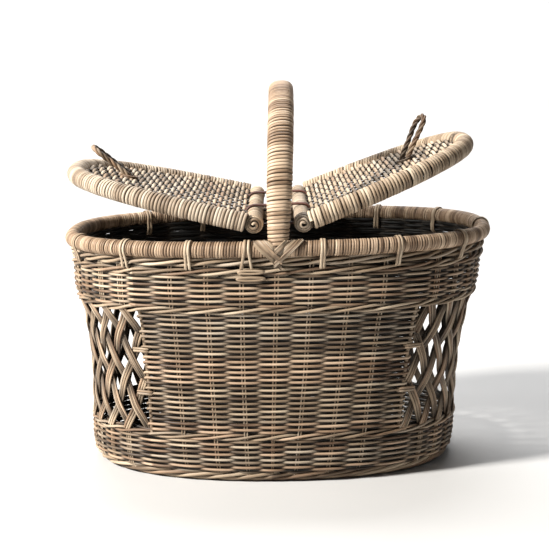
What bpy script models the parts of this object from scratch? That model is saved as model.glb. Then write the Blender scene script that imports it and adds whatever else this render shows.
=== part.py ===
"""Oval wicker picnic basket with an arched handle and two hinged lids.

Units are metres.  X runs along the length, Y from front to back, Z up.
The basket stands on Z = 0 and the middle of its rim is over the origin.
"""

import math

import bmesh
import bpy
import numpy as np
from mathutils import Matrix, Vector

# Plan of the rim: a superellipse through the middle of the rim roll
HALF_LENGTH = 0.222
HALF_WIDTH = 0.155
PLAN_POWER = 2.5
FOOT_PLAN_POWER = 2.2
PLAN_SETTLED_HEIGHT = 0.12
RING_STEPS = 72

# Wall profile: (height, how far the end wall stands inside the rim line)
WALL_PROFILE = (
    (0.000, 0.0345), (0.005, 0.0290), (0.012, 0.0245), (0.028, 0.0225), (0.085, 0.0220),
    (0.104, 0.0210), (0.131, 0.0190), (0.144, 0.0160), (0.164, 0.0130), (0.178, 0.0090),
    (0.186, 0.0055), (0.194, 0.0030), (0.2255, 0.0010),
)
SIDE_INSET_SHARE = 0.8
WALL_THICKNESS = 0.006
GAP = 0.0003

# Heights of the courses
FOOT_TOP = 0.012
LOWER_BAND_TOP = 0.052
UPPER_BAND_BOTTOM = 0.180
WINDOW_MIDDLE = 0.110
UPPER_BAND_TOP = 0.2255
TOP_BORDER_BOTTOM = 0.2284
TOP_BORDER_TOP = 0.2375
TOP_BORDER_THICKNESS = 0.007
FOOT_THICKNESS = 0.012
BASE_BOTTOM = 0.003
BASE_THICKNESS = 0.007

# Lattice windows round the two ends
PANEL_EDGE_ANGLE = math.radians(54.9)
EDGE_POST_RADIUS = 0.0026
EDGE_POST_OFFSET = 0.0062
WINDOW_START = 0.0094
LATTICE_COLUMNS = 22
LATTICE_ROWS = 5
LATTICE_BAND = 0.0085
LATTICE_THICKNESS = 0.004
LATTICE_INSET = 0.001
WINDOW_TIE_CLEARANCE = 0.0011
WINDOW_TIE_THICKNESS = 0.0008
WINDOW_TIE_WIDTH = 0.003

# Rim roll and the cane ties that hold it
RIM_RADIUS = 0.008
RIM_HEIGHT = 0.246
TIE_POSITIONS = (-0.154, -0.090, -0.031, 0.044, 0.120, 0.187)
LEFT_END_TIE = -0.206
TIE_WIDTH = 0.005
TIE_THICKNESS = 0.0012
TIE_CLEARANCE = 0.0005
TIE_INNER_ROOM = 0.002

# Handle
HANDLE_TOP = 0.407
HANDLE_HALF_WIDTH = 0.0135
HANDLE_HALF_DEPTH = 0.010
HANDLE_FOOT = RIM_HEIGHT + RIM_RADIUS + 0.0005
HANDLE_SPAN = HALF_WIDTH
HANDLE_POWER = 2.3
HANDLE_WRAP = 0.002
HANDLE_STATIONS = 26
HANDLE_SIDES = 12
BINDING_HALF_LENGTH = 0.024
BINDING_THICKNESS = 0.0009
BINDING_STAND_OFF = 0.003
BINDING_SLANT = 0.42

# Bar under the handle, and the lids that hinge beside it
BAR_RADIUS = 0.0085
BAR_HALF_LENGTH = 0.1425
HINGE_OFFSET = 0.0245
HINGE_HEIGHT = 0.2705
ROD_RADIUS = 0.009
ROD_HALF_LENGTH = 0.158
LID_RADIUS = 0.010
LID_HALF_WIDTH = 0.150
LEFT_LID_REACH = 0.2205
RIGHT_LID_REACH = 0.2125
LEFT_REST_ANGLE = math.radians(12.3)
RIGHT_REST_ANGLE = math.radians(21.5)
LID_PANEL_THICKNESS = 0.005
LID_PANEL_START = 0.0125
LID_STATIONS = 40
LID_FRAME_START = 0.0012
HINGE_TIE_Y = 0.065
HINGE_TIE_SHIFT = 0.004
HINGE_TIE_WIDTH = 0.0065

# Finger loops on the lids
LEFT_LOOP_DISTANCE = 0.141
RIGHT_LOOP_DISTANCE = 0.124
LOOP_LENGTH = 0.054
LOOP_HALF_WIDTH = 0.0115
LOOP_RADIUS = 0.004
LEFT_LOOP_LEAN = math.radians(64.0)
RIGHT_LOOP_LEAN = math.radians(44.0)
RIGHT_LOOP_TURN = math.radians(25.0)
LOOP_STRAIGHT = 0.005

# A hand-woven basket isn't true: it leans to +X and that end stands higher
LEAN = 0.031
UNEVEN = 0.045


def empty_scene():
    for obj in list(bpy.data.objects):
        bpy.data.objects.remove(obj, do_unlink=True)


def collection(name):
    group = bpy.data.collections.new(name)
    bpy.context.scene.collection.children.link(group)
    return group


def cane_material(name, colour, roughness=0.62):
    material = bpy.data.materials.new(name)
    material.use_nodes = True
    shader = material.node_tree.nodes["Principled BSDF"]
    shader.inputs["Base Color"].default_value = (*colour, 1.0)
    shader.inputs["Roughness"].default_value = roughness
    shader.inputs["Metallic"].default_value = 0.0
    material.diffuse_color = (*colour, 1.0)
    return material


def add_object(name, data, material, group):
    obj = bpy.data.objects.new(name, data)
    data.materials.append(material)
    group.objects.link(obj)
    return obj


def wall_inset(height):
    """How far the wall's end stands inside the rim line at this height."""
    heights = [station[0] for station in WALL_PROFILE]
    insets = [station[1] for station in WALL_PROFILE]
    return float(np.interp(height, heights, insets))


def plan_power(height):
    """The plan is nearer an ellipse at the foot than at the rim."""
    share = min(height / PLAN_SETTLED_HEIGHT, 1.0)
    return FOOT_PLAN_POWER + share * (PLAN_POWER - FOOT_PLAN_POWER)


def plan_point(half_length, half_width, angle, exponent=PLAN_POWER):
    """A point on a superellipse, by its parameter angle."""
    power = 2.0 / exponent
    cosine = math.cos(angle)
    sine = math.sin(angle)
    x = half_length * math.copysign(abs(cosine) ** power, cosine)
    y = half_width * math.copysign(abs(sine) ** power, sine)
    return x, y


def even_angles(start, end, count, half_length=HALF_LENGTH, half_width=HALF_WIDTH):
    """Parameter angles that step evenly along the outline's own length."""
    fine = np.linspace(start, end, 1441)
    points = np.array([plan_point(half_length, half_width, angle) for angle in fine])
    steps = np.linalg.norm(np.diff(points, axis=0), axis=1)
    travelled = np.concatenate(([0.0], np.cumsum(steps)))
    return np.interp(np.linspace(0.0, travelled[-1], count), travelled, fine)


def outline_angle_at(x, front):
    """The rim line's parameter angle at this X, at the front or the back."""
    cosine = math.copysign((abs(x) / HALF_LENGTH) ** (PLAN_POWER / 2.0), x)
    angle = math.acos(cosine)
    return -angle if front else angle


RING_ANGLES = even_angles(0.0, 2.0 * math.pi, RING_STEPS + 1)[:-1]


def wall_point(height, angle, inward=0.0):
    """A point on the wall's outer face, or this far inside it."""
    inset = wall_inset(height)
    half_length = HALF_LENGTH - inset - inward
    half_width = HALF_WIDTH - SIDE_INSET_SHARE * inset - inward
    x, y = plan_point(half_length, half_width, angle, plan_power(height))
    return Vector((x, y, height))


def outward_direction(angle):
    """The rim line's outward direction in plan."""
    step = 0.001
    before = Vector(plan_point(HALF_LENGTH, HALF_WIDTH, angle - step))
    after = Vector(plan_point(HALF_LENGTH, HALF_WIDTH, angle + step))
    along = (after - before).normalized()
    return Vector((along.y, -along.x, 0.0))


def skin(name, rows, close_rows=False, close_stack=False, cap=False):
    """Skin a stack of equally long point rows into one mesh."""
    shape = bmesh.new()
    stack = [[shape.verts.new(point) for point in row] for row in rows]
    pairs = list(zip(stack, stack[1:]))
    if close_stack:
        pairs.append((stack[-1], stack[0]))
    count = len(stack[0])
    last = count if close_rows else count - 1
    for lower, upper in pairs:
        for index in range(last):
            following = (index + 1) % count
            shape.faces.new((lower[index], lower[following], upper[following], upper[index]))
    if cap:
        shape.faces.new(list(reversed(stack[0])))
        shape.faces.new(stack[-1])
    if cap or close_stack:
        bmesh.ops.recalc_face_normals(shape, faces=shape.faces)
    mesh = bpy.data.meshes.new(name)
    shape.to_mesh(mesh)
    shape.free()
    return mesh


def add_thickness(obj, thickness, offset=-1.0):
    solidify = obj.modifiers.new("Thickness", "SOLIDIFY")
    solidify.thickness = thickness
    solidify.offset = offset
    solidify.use_even_offset = True


def shade_round(mesh):
    mesh.shade_smooth()
    mesh.set_sharp_from_angle(angle=math.radians(40.0))


def tube(name, points, radius, material, group, cyclic=False, resolution=2):
    """A round rod along the points, with filled ends."""
    curve = bpy.data.curves.new(name, "CURVE")
    curve.dimensions = "3D"
    curve.bevel_depth = radius
    curve.bevel_resolution = resolution
    curve.use_fill_caps = not cyclic
    spline = curve.splines.new("POLY")
    spline.points.add(len(points) - 1)
    for place, point in zip(spline.points, points):
        place.co = (*point, 1.0)
        place.radius = 1.0
    spline.use_cyclic_u = cyclic
    spline.use_smooth = True
    return add_object(name, curve, material, group)


def flat_loop(name, outer, inner, width, material, group):
    """A band bent round in a plane: an outline with a hole, given a width."""
    curve = bpy.data.curves.new(name, "CURVE")
    curve.dimensions = "2D"
    curve.fill_mode = "BOTH"
    curve.extrude = width / 2.0
    for outline in (outer, inner):
        spline = curve.splines.new("POLY")
        spline.points.add(len(outline) - 1)
        for place, point in zip(spline.points, outline):
            place.co = (point[0], point[1], 0.0, 1.0)
        spline.use_cyclic_u = True
    return add_object(name, curve, material, group)


def ring_band(name, heights, material, group):
    """A whole woven course of the wall: an upright band with the wall's thickness."""
    rows = [[wall_point(height, angle) for angle in RING_ANGLES] for height in heights]
    obj = add_object(name, skin(name, rows, close_rows=True), material, group)
    add_thickness(obj, WALL_THICKNESS)
    shade_round(obj.data)
    return obj


def woven_base(group):
    heights = (BASE_BOTTOM, BASE_BOTTOM + BASE_THICKNESS)
    inward = FOOT_THICKNESS + GAP
    rows = []
    for height in heights:
        rows.append([wall_point(BASE_BOTTOM, angle, inward) + Vector((0, 0, height - BASE_BOTTOM))
                     for angle in RING_ANGLES])
    mesh = skin("base_panel", rows, close_rows=True, cap=True)
    return add_object("base_panel", mesh, cane_material("base_cane", (0.33, 0.25, 0.17)), group)


def foot_border(group):
    """The thick plaited border that the basket stands on, with a flat underside."""
    section = (
        (0.0, 0.0), (0.005, 0.0), (FOOT_TOP, 0.0),
        (FOOT_TOP, FOOT_THICKNESS), (0.0, FOOT_THICKNESS),
    )
    rows = []
    for height, inward in section:
        if inward > 0.0:
            row = [wall_point(BASE_BOTTOM, angle, inward) for angle in RING_ANGLES]
            for point in row:
                point.z = height
        else:
            row = [wall_point(height, angle) for angle in RING_ANGLES]
        rows.append(row)
    mesh = skin("foot_border", rows, close_rows=True, close_stack=True)
    shade_round(mesh)
    return add_object("foot_border", mesh, cane_material("foot_cane", (0.40, 0.30, 0.21)), group)


def lower_band(group):
    heights = (FOOT_TOP + GAP, 0.018, 0.028, LOWER_BAND_TOP)
    return ring_band("lower_band", heights, cane_material("lower_cane", (0.42, 0.32, 0.22)), group)


def upper_band(group):
    heights = (UPPER_BAND_BOTTOM, 0.187, 0.195, UPPER_BAND_TOP)
    return ring_band("upper_band", heights, cane_material("upper_cane", (0.44, 0.33, 0.23)), group)


def panel_levels():
    bottom = LOWER_BAND_TOP + GAP
    top = UPPER_BAND_BOTTOM - GAP
    return (bottom, 0.085, 0.104, 0.131, 0.144, 0.164, top)


def woven_panel(name, middle_angle, group):
    """A close-woven panel at the front or back, between the two windows."""
    half_turn = math.pi / 2.0 - PANEL_EDGE_ANGLE
    angles = even_angles(middle_angle - half_turn, middle_angle + half_turn, 17)
    rows = [[wall_point(height, angle) for angle in angles] for height in panel_levels()]
    obj = add_object(name, skin(name, rows), cane_material(name + "_cane", (0.46, 0.35, 0.24)), group)
    add_thickness(obj, WALL_THICKNESS)
    shade_round(obj.data)
    return obj


def angle_past_panel(corner_angle, distance):
    """The parameter angle this far along the wall from a panel's edge, into the window."""
    towards_end = -1.0 if math.sin(2.0 * corner_angle) > 0.0 else 1.0
    step = 0.0003
    angle = corner_angle
    travelled = 0.0
    here = wall_point(WINDOW_MIDDLE, angle)
    while travelled < distance:
        angle += towards_end * step
        there = wall_point(WINDOW_MIDDLE, angle)
        travelled += (there - here).length
        here = there
    return angle


PANEL_CORNERS = {
    "front_left": math.pi + PANEL_EDGE_ANGLE,
    "front_right": 2.0 * math.pi - PANEL_EDGE_ANGLE,
    "back_right": PANEL_EDGE_ANGLE,
    "back_left": math.pi - PANEL_EDGE_ANGLE,
}


def edge_post(place, group):
    """The stout stake at the edge of a window, that the panel's weavers turn round."""
    angle = angle_past_panel(PANEL_CORNERS[place], EDGE_POST_OFFSET)
    middle = WALL_THICKNESS / 2.0
    levels = list(panel_levels())
    levels[0] += GAP
    levels[-1] -= GAP
    points = [wall_point(height, angle, middle) for height in levels]
    name = "edge_post_" + place
    return tube(name, points, EDGE_POST_RADIUS, cane_material(name + "_cane", (0.38, 0.28, 0.19)), group)


def lattice_window(name, start_angle, end_angle, group):
    """Bands of cane crossing on the slant, with open diamonds between them."""
    angles = even_angles(start_angle, end_angle, LATTICE_COLUMNS + 1)
    bottom = LOWER_BAND_TOP + GAP
    top = UPPER_BAND_BOTTOM - GAP
    heights = np.linspace(bottom, top, LATTICE_ROWS + 1)
    shape = bmesh.new()
    knots = {}

    def knot(column, row):
        key = (column, row)
        if key not in knots:
            knots[key] = shape.verts.new(wall_point(float(heights[row]), angles[column], LATTICE_INSET))
        return knots[key]

    for row in range(LATTICE_ROWS + 1):
        for column in range(LATTICE_COLUMNS + 1):
            if (row + column) % 2 == 0:
                continue
            corners = ((column + 1, row), (column, row + 1), (column - 1, row), (column, row - 1))
            inside = [corner for corner in corners
                      if 0 <= corner[0] <= LATTICE_COLUMNS and 0 <= corner[1] <= LATTICE_ROWS]
            if len(inside) == 2:
                inside.insert(1, (column, row))
            shape.faces.new([knot(*corner) for corner in inside])
    shape.normal_update()
    for face in shape.faces:
        middle = face.calc_center_median()
        if face.normal.x * middle.x + face.normal.y * middle.y < 0.0:
            face.normal_flip()
    diamonds = list(shape.faces)
    bmesh.ops.inset_individual(shape, faces=diamonds, thickness=LATTICE_BAND / 2.0, use_even_offset=True)
    bmesh.ops.delete(shape, geom=diamonds, context="FACES")
    mesh = bpy.data.meshes.new(name)
    shape.to_mesh(mesh)
    shape.free()
    obj = add_object(name, mesh, cane_material(name + "_cane", (0.43, 0.34, 0.25)), group)
    add_thickness(obj, LATTICE_THICKNESS)
    return obj


def lattice_windows(group):
    right_start = angle_past_panel(PANEL_CORNERS["front_right"], WINDOW_START) - 2.0 * math.pi
    right_end = angle_past_panel(PANEL_CORNERS["back_right"], WINDOW_START)
    left_start = angle_past_panel(PANEL_CORNERS["back_left"], WINDOW_START)
    left_end = angle_past_panel(PANEL_CORNERS["front_left"], WINDOW_START)
    lattice_window("lattice_right", right_start, right_end, group)
    lattice_window("lattice_left", left_start, left_end, group)


def top_border(group):
    """The twisted wale just under the rim roll."""
    section = (
        (TOP_BORDER_BOTTOM, 0.0), (TOP_BORDER_TOP, 0.0),
        (TOP_BORDER_TOP, TOP_BORDER_THICKNESS), (TOP_BORDER_BOTTOM, TOP_BORDER_THICKNESS),
    )
    rows = [[wall_point(height, angle, inward) for angle in RING_ANGLES] for height, inward in section]
    mesh = skin("top_border", rows, close_rows=True, close_stack=True)
    shade_round(mesh)
    return add_object("top_border", mesh, cane_material("wale_cane", (0.48, 0.37, 0.26)), group)


def rim_hoop(group):
    points = [wall_point(RIM_HEIGHT, angle) for angle in RING_ANGLES]
    material = cane_material("rim_cane", (0.52, 0.40, 0.28), 0.55)
    return tube("rim_hoop", points, RIM_RADIUS, material, group, cyclic=True)


def rim_tie_outline(grow):
    """Outline round the rim roll and the wale, in (outward, upward) measured from the rim's middle."""
    radius = RIM_RADIUS + TIE_CLEARANCE + grow
    bottom = TOP_BORDER_BOTTOM - RIM_HEIGHT - TIE_CLEARANCE - grow
    outline = []
    for turn in np.linspace(math.radians(-15.0), math.radians(195.0), 12):
        outline.append((radius * math.cos(turn), radius * math.sin(turn)))
    outline.append((-TOP_BORDER_THICKNESS - TIE_INNER_ROOM - grow, bottom))
    outline.append((TIE_CLEARANCE + grow, bottom))
    return outline


def place_upright(obj, place, outward):
    """Stand a flat outline up so that its x axis points outward and its y axis up."""
    up = Vector((0.0, 0.0, 1.0))
    along = outward.cross(up)
    turn = Matrix((outward, up, along)).transposed()
    obj.matrix_world = Matrix.Translation(place) @ turn.to_4x4()


def rim_ties(group):
    """Doubled cane ties that go over the rim roll and under the wale."""
    material = cane_material("tie_cane", (0.60, 0.47, 0.33), 0.5)
    angles = [outline_angle_at(x, True) for x in TIE_POSITIONS]
    angles.append(0.0)
    angles += [outline_angle_at(x, False) for x in reversed(TIE_POSITIONS)]
    angles.append(outline_angle_at(LEFT_END_TIE, True))
    for number, angle in enumerate(angles, start=1):
        name = f"rim_tie_{number:02d}"
        outer = rim_tie_outline(TIE_THICKNESS)
        inner = rim_tie_outline(0.0)
        obj = flat_loop(name, outer, inner, TIE_WIDTH, material, group)
        place_upright(obj, wall_point(RIM_HEIGHT, angle), outward_direction(angle))


def window_tie(number, place, height, group):
    """A small cane loop that holds the lattice's edge to the edge post."""
    near_end = EDGE_POST_OFFSET - EDGE_POST_RADIUS - WINDOW_TIE_CLEARANCE
    far_end = WINDOW_START + LATTICE_BAND / 2.0 + WINDOW_TIE_CLEARANCE
    half_length = (far_end - near_end) / 2.0
    half_depth = EDGE_POST_RADIUS + WINDOW_TIE_CLEARANCE
    angle = angle_past_panel(PANEL_CORNERS[place], (near_end + far_end) / 2.0)
    outlines = []
    for grow in (WINDOW_TIE_THICKNESS, 0.0):
        x = half_length + grow
        y = half_depth + grow
        cut = 0.0012
        outlines.append([(x - cut, -y), (x, cut - y), (x, y - cut), (x - cut, y),
                         (cut - x, y), (-x, y - cut), (-x, cut - y), (cut - x, -y)])
    name = f"window_tie_{number}"
    material = cane_material(name + "_cane", (0.58, 0.45, 0.31))
    obj = flat_loop(name, outlines[0], outlines[1], WINDOW_TIE_WIDTH, material, group)
    outward = outward_direction(angle)
    along = Vector((-outward.y, outward.x, 0.0))
    turn = Matrix((along, outward, Vector((0, 0, -1)))).transposed()
    middle = wall_point(height, angle, WALL_THICKNESS / 2.0)
    obj.matrix_world = Matrix.Translation(middle) @ turn.to_4x4()


def window_ties(group):
    """Two ties on each edge post, at the heights where a diamond is open beside it."""
    row_height = (UPPER_BAND_BOTTOM - LOWER_BAND_TOP) / LATTICE_ROWS
    number = 0
    for place in PANEL_CORNERS:
        for row in (1, 3):
            number += 1
            window_tie(number, place, LOWER_BAND_TOP + row * row_height, group)


def arch_point(turn):
    """A point on the handle's middle line, in the plane X = 0."""
    power = 2.0 / HANDLE_POWER
    rise = HANDLE_TOP - HANDLE_HALF_DEPTH - HANDLE_FOOT
    y = -HANDLE_SPAN * math.copysign(abs(math.cos(turn)) ** power, math.cos(turn))
    z = HANDLE_FOOT + rise * abs(math.sin(turn)) ** power
    return Vector((0.0, y, z))


def handle_rows(half_width, half_depth):
    """Rounded sections square to the handle's middle line, from the front foot to the back foot."""
    rows = []
    for turn in np.linspace(0.0, math.pi, HANDLE_STATIONS):
        middle = arch_point(turn)
        ahead = arch_point(min(turn + 0.01, math.pi))
        behind = arch_point(max(turn - 0.01, 0.0))
        along = (ahead - behind).normalized()
        if turn in (0.0, math.pi):
            along = Vector((0.0, 0.0, 1.0 if turn == 0.0 else -1.0))
        across = Vector((1.0, 0.0, 0.0))
        inward = along.cross(across)
        row = []
        for side in range(HANDLE_SIDES):
            angle = 2.0 * math.pi * side / HANDLE_SIDES
            wide = math.copysign(abs(math.cos(angle)) ** 0.8, math.cos(angle))
            deep = math.copysign(abs(math.sin(angle)) ** 0.8, math.sin(angle))
            row.append(middle + across * (half_width * wide) + inward * (half_depth * deep))
        rows.append(row)
    return rows


def handle(group):
    """The bundle of rods that makes the handle, and the flat cane wound round it."""
    wrap_rows = handle_rows(HANDLE_HALF_WIDTH, HANDLE_HALF_DEPTH)
    wrap_mesh = skin("handle_wrap", wrap_rows, close_rows=True)
    wrap = add_object("handle_wrap", wrap_mesh, cane_material("handle_cane", (0.55, 0.43, 0.30), 0.5), group)
    inset = HANDLE_WRAP + GAP
    add_thickness(wrap, HANDLE_WRAP)
    shade_round(wrap_mesh)
    core_rows = handle_rows(HANDLE_HALF_WIDTH - inset, HANDLE_HALF_DEPTH - inset)
    core_mesh = skin("handle_core", core_rows, close_rows=True, cap=True)
    shade_round(core_mesh)
    add_object("handle_core", core_mesh, cane_material("core_rod", (0.30, 0.21, 0.13)), group)


def handle_binding(name, front, group):
    """The plaited cane apron that binds the handle's foot to the rim, with a pointed lower edge."""
    rows = []
    radius = RIM_RADIUS + TIE_CLEARANCE
    ahead = -1.0 if front else 1.0
    for x in np.linspace(-BINDING_HALF_LENGTH, BINDING_HALF_LENGTH, 9):
        angle = outline_angle_at(x, front)
        middle = wall_point(RIM_HEIGHT, angle)
        bottom = TOP_BORDER_BOTTOM + 0.001 + BINDING_SLANT * abs(x)
        row = []
        for turn in np.linspace(math.radians(60.0), math.radians(-35.0), 8):
            row.append(middle + Vector((0.0, ahead * radius * math.cos(turn), radius * math.sin(turn))))
        drop = RIM_HEIGHT - bottom
        beside_roll = math.sqrt(max(radius ** 2 - drop ** 2, 0.0))
        stand_off = max(BINDING_STAND_OFF, beside_roll)
        row.append(Vector((middle.x, middle.y + ahead * stand_off, bottom)))
        rows.append(row)
    if not front:
        rows.reverse()
    mesh = skin(name, rows)
    obj = add_object(name, mesh, cane_material(name + "_cane", (0.57, 0.45, 0.31), 0.5), group)
    add_thickness(obj, BINDING_THICKNESS, offset=1.0)
    shade_round(mesh)
    return obj


def bridge_bar(group):
    points = [(0.0, -BAR_HALF_LENGTH, HINGE_HEIGHT), (0.0, BAR_HALF_LENGTH, HINGE_HEIGHT)]
    return tube("bridge_bar", points, BAR_RADIUS, cane_material("bar_rod", (0.36, 0.26, 0.17)), group)


def hinge_tie_outline(grow):
    """Outline round the bridge bar and one hinge rod, with the bar at the origin."""
    clearance = 0.0004
    outline = []
    for turn in np.linspace(math.pi / 2.0, 3.0 * math.pi / 2.0, 8):
        radius = BAR_RADIUS + clearance + grow
        outline.append((radius * math.cos(turn), radius * math.sin(turn)))
    for turn in np.linspace(-math.pi / 2.0, math.pi / 2.0, 10):
        radius = ROD_RADIUS + clearance + grow
        outline.append((HINGE_OFFSET + radius * math.cos(turn), radius * math.sin(turn)))
    return outline


def hinge_ties(group):
    """Dark leather thongs that hold each lid's rod to the bridge bar and let it turn."""
    material = cane_material("thong_leather", (0.07, 0.035, 0.02), 0.5)
    for side_name, side in (("left", -1.0), ("right", 1.0)):
        for end_name, end in (("front", -1.0), ("back", 1.0)):
            y = end * HINGE_TIE_Y + side * HINGE_TIE_SHIFT
            name = f"hinge_tie_{side_name}_{end_name}"
            obj = flat_loop(name, hinge_tie_outline(0.0012), hinge_tie_outline(0.0),
                            HINGE_TIE_WIDTH, material, group)
            place_upright(obj, Vector((0.0, y, HINGE_HEIGHT)), Vector((side, 0.0, 0.0)))


def lid_outline(reach, half_width, start, count):
    """The lid's D in plan, as (distance from the hinge, Y), from the front corner to the back corner."""
    first = math.acos(((HINGE_OFFSET + start) / reach) ** (PLAN_POWER / 2.0))
    angles = even_angles(-first, first, count, reach, half_width)
    return [(x - HINGE_OFFSET, y) for x, y in (plan_point(reach, half_width, angle) for angle in angles)]


def lid_frame(name, side, reach, group):
    start = ROD_RADIUS + LID_FRAME_START
    points = [(side * x, y, 0.0) for x, y in lid_outline(reach, LID_HALF_WIDTH, start, LID_STATIONS)]
    return tube(name, points, LID_RADIUS, cane_material(name + "_cane", (0.56, 0.45, 0.33)), group)


def lid_rod(name, group):
    points = [(0.0, -ROD_HALF_LENGTH, 0.0), (0.0, ROD_HALF_LENGTH, 0.0)]
    return tube(name, points, ROD_RADIUS, cane_material(name + "_cane", (0.50, 0.39, 0.28)), group,
                resolution=3)


def lid_panel(name, side, reach, group):
    inset = LID_RADIUS + GAP
    outline = lid_outline(reach - inset, LID_HALF_WIDTH - inset, LID_PANEL_START, 33)
    rows = []
    for height in (-LID_PANEL_THICKNESS / 2.0, LID_PANEL_THICKNESS / 2.0):
        rows.append([Vector((side * x, y, height)) for x, y in outline])
    mesh = skin(name, rows, close_rows=True, cap=True)
    return add_object(name, mesh, cane_material(name + "_cane", (0.58, 0.47, 0.34)), group)


def lid_loop(name, side, distance, lean_angle, turn_angle, group):
    """A twisted cane finger loop: a short way up from the panel, then leaning towards the lid's tip."""
    foot = LID_PANEL_THICKNESS / 2.0 + GAP
    lean = Vector((side * math.sin(lean_angle), 0.0, math.cos(lean_angle)))
    across = Matrix.Rotation(turn_angle, 3, "Z") @ Vector((0.0, 1.0, 0.0))
    middle = Vector((side * distance, 0.0, foot))
    knee = middle + Vector((0.0, 0.0, LOOP_STRAIGHT))
    straight = LOOP_LENGTH - LOOP_STRAIGHT - LOOP_HALF_WIDTH
    flat = [(-LOOP_HALF_WIDTH, 0.0), (-LOOP_HALF_WIDTH, straight * 0.5)]
    for turn in np.linspace(math.pi, 0.0, 9):
        flat.append((LOOP_HALF_WIDTH * math.cos(turn), straight + LOOP_HALF_WIDTH * math.sin(turn)))
    flat += [(LOOP_HALF_WIDTH, straight * 0.5), (LOOP_HALF_WIDTH, 0.0)]
    points = [middle - across * LOOP_HALF_WIDTH]
    points += [knee + lean * rise + across * sideways for sideways, rise in flat]
    points.append(middle + across * LOOP_HALF_WIDTH)
    return tube(name, points, LOOP_RADIUS, cane_material(name + "_cane", (0.50, 0.40, 0.29)), group)


def left_lid(group):
    pieces = (
        lid_frame("lid_left_frame", -1.0, LEFT_LID_REACH, group),
        lid_rod("lid_left_hinge_rod", group),
        lid_panel("lid_left_panel", -1.0, LEFT_LID_REACH, group),
        lid_loop("lid_left_loop", -1.0, LEFT_LOOP_DISTANCE, LEFT_LOOP_LEAN, 0.0, group),
    )
    hang_lid("lid_left_hinge_axis", -1.0, LEFT_REST_ANGLE, pieces, group)


def right_lid(group):
    pieces = (
        lid_frame("lid_right_frame", 1.0, RIGHT_LID_REACH, group),
        lid_rod("lid_right_hinge_rod", group),
        lid_panel("lid_right_panel", 1.0, RIGHT_LID_REACH, group),
        lid_loop("lid_right_loop", 1.0, RIGHT_LOOP_DISTANCE, RIGHT_LOOP_LEAN, RIGHT_LOOP_TURN, group),
    )
    hang_lid("lid_right_hinge_axis", 1.0, RIGHT_REST_ANGLE, pieces, group)


def hang_lid(axis_name, side, rest_angle, pieces, group):
    """Put a lid's pieces on its hinge and turn them to where the lid stands."""
    axis = bpy.data.objects.new(axis_name, None)
    group.objects.link(axis)
    axis.location = leaned(Vector((side * HINGE_OFFSET, 0.0, HINGE_HEIGHT)))
    axis.rotation_euler = (0.0, -side * rest_angle, 0.0)
    for piece in pieces:
        piece.parent = axis


def leaned(point):
    """Where a point of the true basket comes to in the hand-woven one."""
    return Vector((
        point.x + LEAN * (point.z - RIM_HEIGHT),
        point.y,
        point.z * (1.0 + UNEVEN * point.x),
    ))


def settle(obj, group):
    """Turn a fixed piece into a plain mesh, and lean it with the rest of the basket."""
    world = obj.matrix_world.copy()
    back = world.inverted()
    depsgraph = bpy.context.evaluated_depsgraph_get()
    mesh = bpy.data.meshes.new_from_object(obj.evaluated_get(depsgraph))
    shape = bmesh.new()
    shape.from_mesh(mesh)
    bmesh.ops.remove_doubles(shape, verts=shape.verts, dist=0.00001)
    for vertex in shape.verts:
        vertex.co = back @ leaned(world @ vertex.co)
    shape.to_mesh(mesh)
    shape.free()
    name = obj.name
    bpy.data.objects.remove(obj, do_unlink=True)
    settled = bpy.data.objects.new(name, mesh)
    group.objects.link(settled)
    settled.matrix_world = world


def build():
    empty_scene()
    group = collection("wicker_picnic_basket")
    woven_base(group)
    foot_border(group)
    lower_band(group)
    upper_band(group)
    woven_panel("front_panel", -math.pi / 2.0, group)
    woven_panel("back_panel", math.pi / 2.0, group)
    lattice_windows(group)
    for place in PANEL_CORNERS:
        edge_post(place, group)
    window_ties(group)
    top_border(group)
    rim_hoop(group)
    rim_ties(group)
    handle(group)
    handle_binding("handle_binding_front", True, group)
    handle_binding("handle_binding_back", False, group)
    bridge_bar(group)
    hinge_ties(group)
    bpy.context.view_layer.update()
    for obj in list(group.objects):
        settle(obj, group)
    left_lid(group)
    right_lid(group)
    bpy.context.view_layer.update()


build()
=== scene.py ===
"""How the wicker picnic basket looks: every cane strand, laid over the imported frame.

Units are metres.  X runs along the basket, Y from front to back, Z up.
"""
import math

import bpy
import numpy as np
from mathutils import Euler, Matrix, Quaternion

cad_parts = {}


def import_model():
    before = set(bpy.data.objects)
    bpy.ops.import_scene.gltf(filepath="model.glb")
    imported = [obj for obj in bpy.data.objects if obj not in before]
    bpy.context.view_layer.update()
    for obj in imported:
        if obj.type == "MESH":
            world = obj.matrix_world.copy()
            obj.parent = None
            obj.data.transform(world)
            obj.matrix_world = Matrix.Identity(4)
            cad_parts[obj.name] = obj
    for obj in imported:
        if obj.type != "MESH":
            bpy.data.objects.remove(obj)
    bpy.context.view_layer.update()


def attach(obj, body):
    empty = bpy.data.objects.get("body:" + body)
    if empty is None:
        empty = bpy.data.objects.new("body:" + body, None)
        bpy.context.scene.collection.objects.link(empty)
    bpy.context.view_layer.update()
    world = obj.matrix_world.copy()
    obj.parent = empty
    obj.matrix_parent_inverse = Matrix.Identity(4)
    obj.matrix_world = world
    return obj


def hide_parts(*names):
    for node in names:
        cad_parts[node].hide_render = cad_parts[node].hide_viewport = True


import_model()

CHANCE = np.random.default_rng(41)

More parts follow.
